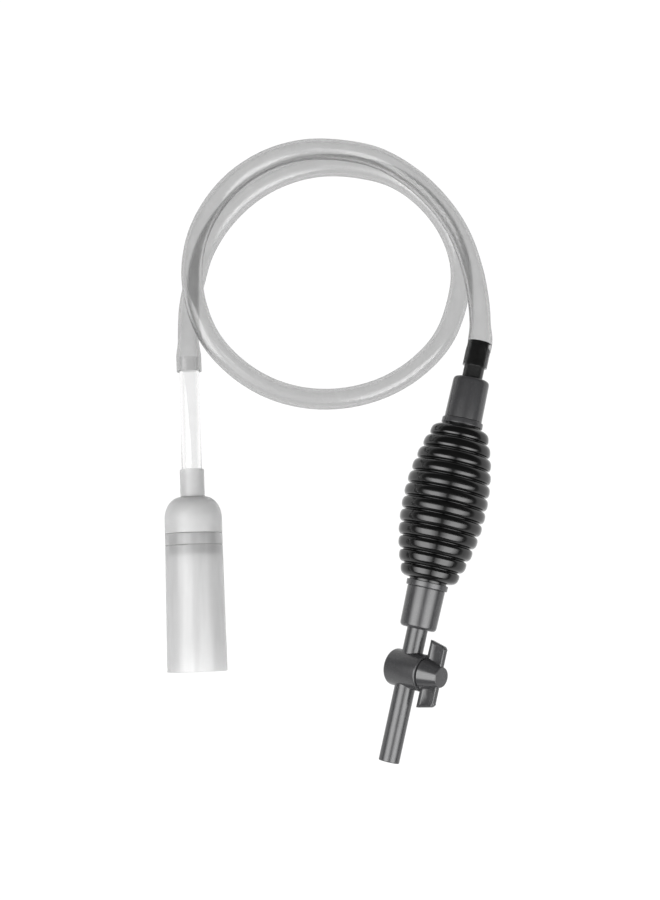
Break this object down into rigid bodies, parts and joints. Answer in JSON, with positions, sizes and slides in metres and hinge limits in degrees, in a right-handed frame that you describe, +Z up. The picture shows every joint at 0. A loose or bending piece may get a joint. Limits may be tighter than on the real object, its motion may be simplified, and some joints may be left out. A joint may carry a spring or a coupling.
{
  "type": "gravel vacuum siphon",
  "caption": "Aquarium gravel cleaner: rigid gravel tube and head, a loose loop of clear hose, a ribbed squeeze bulb between two caps, and a stopcock with a wing handle.",
  "frame": {"origin": "on the table, under the middle of the box around the rigid pieces (the free hose is left out)", "axes": "+Y towards the hose's loop, along the siphon's length; +Z up from the table it lies on; +X from the gravel tube to the pump"},
  "size_m": [0.247, 0.4729, 0.0631],
  "materials": {
    "clear_vinyl": "clear flexible PVC, slightly grey",
    "clear_acrylic": "clear rigid tube, polished",
    "frosted_styrene": "translucent, fine moulded frost",
    "frosted_polyethylene": "translucent, satin moulded",
    "dark_abs": "dark grey moulded ABS, satin",
    "bellows_rubber": "glossy black moulded rubber",
    "seal_rubber": "matt black rubber",
    "clear_silicone": "clear silicone rubber with a faint haze",
    "pale_acetal": "off-white natural moulding"
  },
  "bodies": {
    "head_hose_and_bulb": {"hose": "clear_vinyl", "extension_tube": "clear_acrylic", "gravel_head": "frosted_polyethylene", "joint_band": "frosted_styrene", "head_seal_ring": "clear_silicone", "inlet_stub": "dark_abs", "upper_cap": "dark_abs", "upper_clamp_ring": "dark_abs", "inlet_valve_seat": "pale_acetal", "bellows": "bellows_rubber"},
    "lower_end": {"lower_clamp_ring": "dark_abs", "lower_cap": "dark_abs", "outlet_valve_seat": "pale_acetal", "valve_body": "dark_abs", "gland_ring": "dark_abs"},
    "valve_knob": {"valve_handle": "dark_abs", "valve_plug": "pale_acetal", "plug_seal_inner": "seal_rubber", "plug_seal_outer": "seal_rubber"},
    "inlet_flap": {"inlet_flap": "seal_rubber"},
    "outlet_flap": {"outlet_flap": "seal_rubber"},
    "gravel_tube": {"gravel_tube": "frosted_styrene"}
  },
  "joints": [
    {"name": "bulb_squeeze", "type": "slide", "parent": "head_hose_and_bulb", "child": "lower_end", "axis": [0.219, 0.9757, 0], "range_m": [0, 0.045], "stiffness_N_per_m": 350, "deforming": ["bellows"]},
    {"name": "valve_turn", "type": "hinge", "parent": "lower_end", "child": "valve_knob", "pos_m": [0.05902, -0.09025, 0.03154], "axis": [0.7364, -0.1653, 0.6561], "range_deg": [0, 90]},
    {"name": "inlet_flap_open", "type": "hinge", "parent": "head_hose_and_bulb", "child": "inlet_flap", "pos_m": [0.09415, 0.10007, 0.03154], "axis": [0, 0, -1], "range_deg": [0, 30], "stiffness_Nm_per_rad": 0.0005},
    {"name": "outlet_flap_open", "type": "hinge", "parent": "lower_end", "child": "outlet_flap", "pos_m": [0.0634, -0.03692, 0.03154], "axis": [0, 0, -1], "range_deg": [0, 30], "stiffness_Nm_per_rad": 0.0005},
    {"name": "gravel_tube_pull", "type": "slide", "parent": "head_hose_and_bulb", "child": "gravel_tube", "axis": [0.0373, -0.9993, 0.0071], "range_m": [0, 0.03]}
  ]
}
